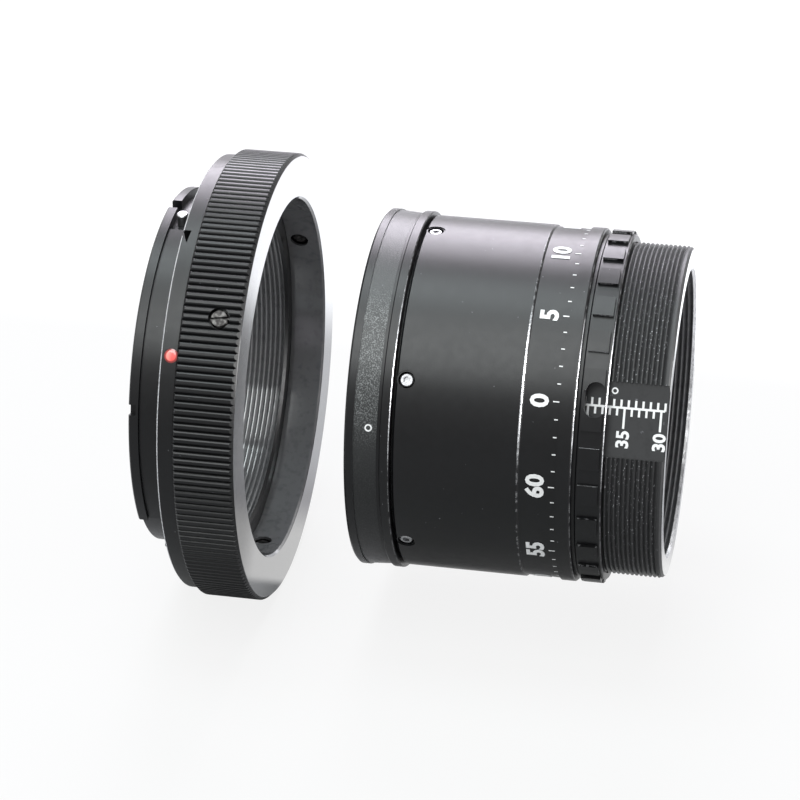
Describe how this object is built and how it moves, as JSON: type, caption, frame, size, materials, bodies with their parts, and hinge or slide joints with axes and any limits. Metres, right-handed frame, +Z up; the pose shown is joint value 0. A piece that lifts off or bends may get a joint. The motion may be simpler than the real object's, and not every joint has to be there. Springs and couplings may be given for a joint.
{
  "type": "telescope extension tube",
  "caption": "Variable-length extension tube with a threaded draw tube, lock ring and clamping spigot, shown apart from its camera bayonet ring.",
  "frame": {"origin": "centre of the draw tube's telescope end face, on the optical axis", "axes": "+X along the optical axis towards the telescope, -Y towards the viewer, +Z up"},
  "size_m": [0.0745, 0.0658, 0.0658],
  "materials": {
    "black_anodised": "fine satin black anodised aluminium",
    "knurled_black": "black anodised aluminium with straight knurling",
    "white_paint": "white filled engraving",
    "red_paint": "red enamel dot",
    "steel": "bright steel screws"
  },
  "bodies": {
    "draw_tube": {"draw_tube": "black_anodised", "scale_marks": "white_paint"},
    "end_ring": {"end_ring": "black_anodised", "end_ring_mark": "white_paint"},
    "barrel": {"barrel": "black_anodised", "barrel_marks": "white_paint", "set_screw_1": "steel", "set_screw_2": "steel", "set_screw_3": "steel", "set_screw_4": "steel", "set_screw_5": "steel", "set_screw_6": "steel"},
    "lock_ring": {"lock_ring": "black_anodised"},
    "bayonet_ring": {"ring_housing": "knurled_black", "bayonet_plate": "black_anodised", "plate_screw_1": "steel", "plate_screw_2": "steel", "plate_screw_3": "steel", "bayonet_stop_screw": "steel", "index_dot": "red_paint"},
    "clamp_screw_1": {"clamp_screw_1": "steel"},
    "clamp_screw_2": {"clamp_screw_2": "steel"},
    "clamp_screw_3": {"clamp_screw_3": "steel"}
  },
  "joints": [
    {"name": "extension", "type": "slide", "parent": "draw_tube", "child": "end_ring", "axis": [-1, 0, 0], "range_m": [-0.008, 0.009]},
    {"name": "barrel_turn", "type": "hinge", "parent": "end_ring", "child": "barrel", "pos_m": [-0.03732, 0, 0], "axis": [-1, 0, 0], "range_deg": [-4430, 4984]},
    {"name": "lock_ring_turn", "type": "hinge", "parent": "barrel", "child": "lock_ring", "pos_m": [-0.0083, 0, 0], "axis": [1, 0, 0], "range_deg": [0, 360]},
    {"name": "bayonet_ring_slide", "type": "slide", "parent": "end_ring", "child": "bayonet_ring", "axis": [1, 0, 0], "range_m": [0, 0.01888]},
    {"name": "clamp_screw_1_travel", "type": "slide", "parent": "bayonet_ring", "child": "clamp_screw_1", "axis": [0, -0.7869, 0.617], "range_m": [-0.0006, 0.0012]},
    {"name": "clamp_screw_2_travel", "type": "slide", "parent": "bayonet_ring", "child": "clamp_screw_2", "axis": [0, 0.8862, 0.4633], "range_m": [-0.0006, 0.0012]},
    {"name": "clamp_screw_3_travel", "type": "slide", "parent": "bayonet_ring", "child": "clamp_screw_3", "axis": [0, -0.1011, -0.9949], "range_m": [-0.0006, 0.0012]}
  ],
  "couplings": [
    {"joint": "extension", "follows": "barrel_turn", "m_per_rad": 0.00010345}
  ]
}
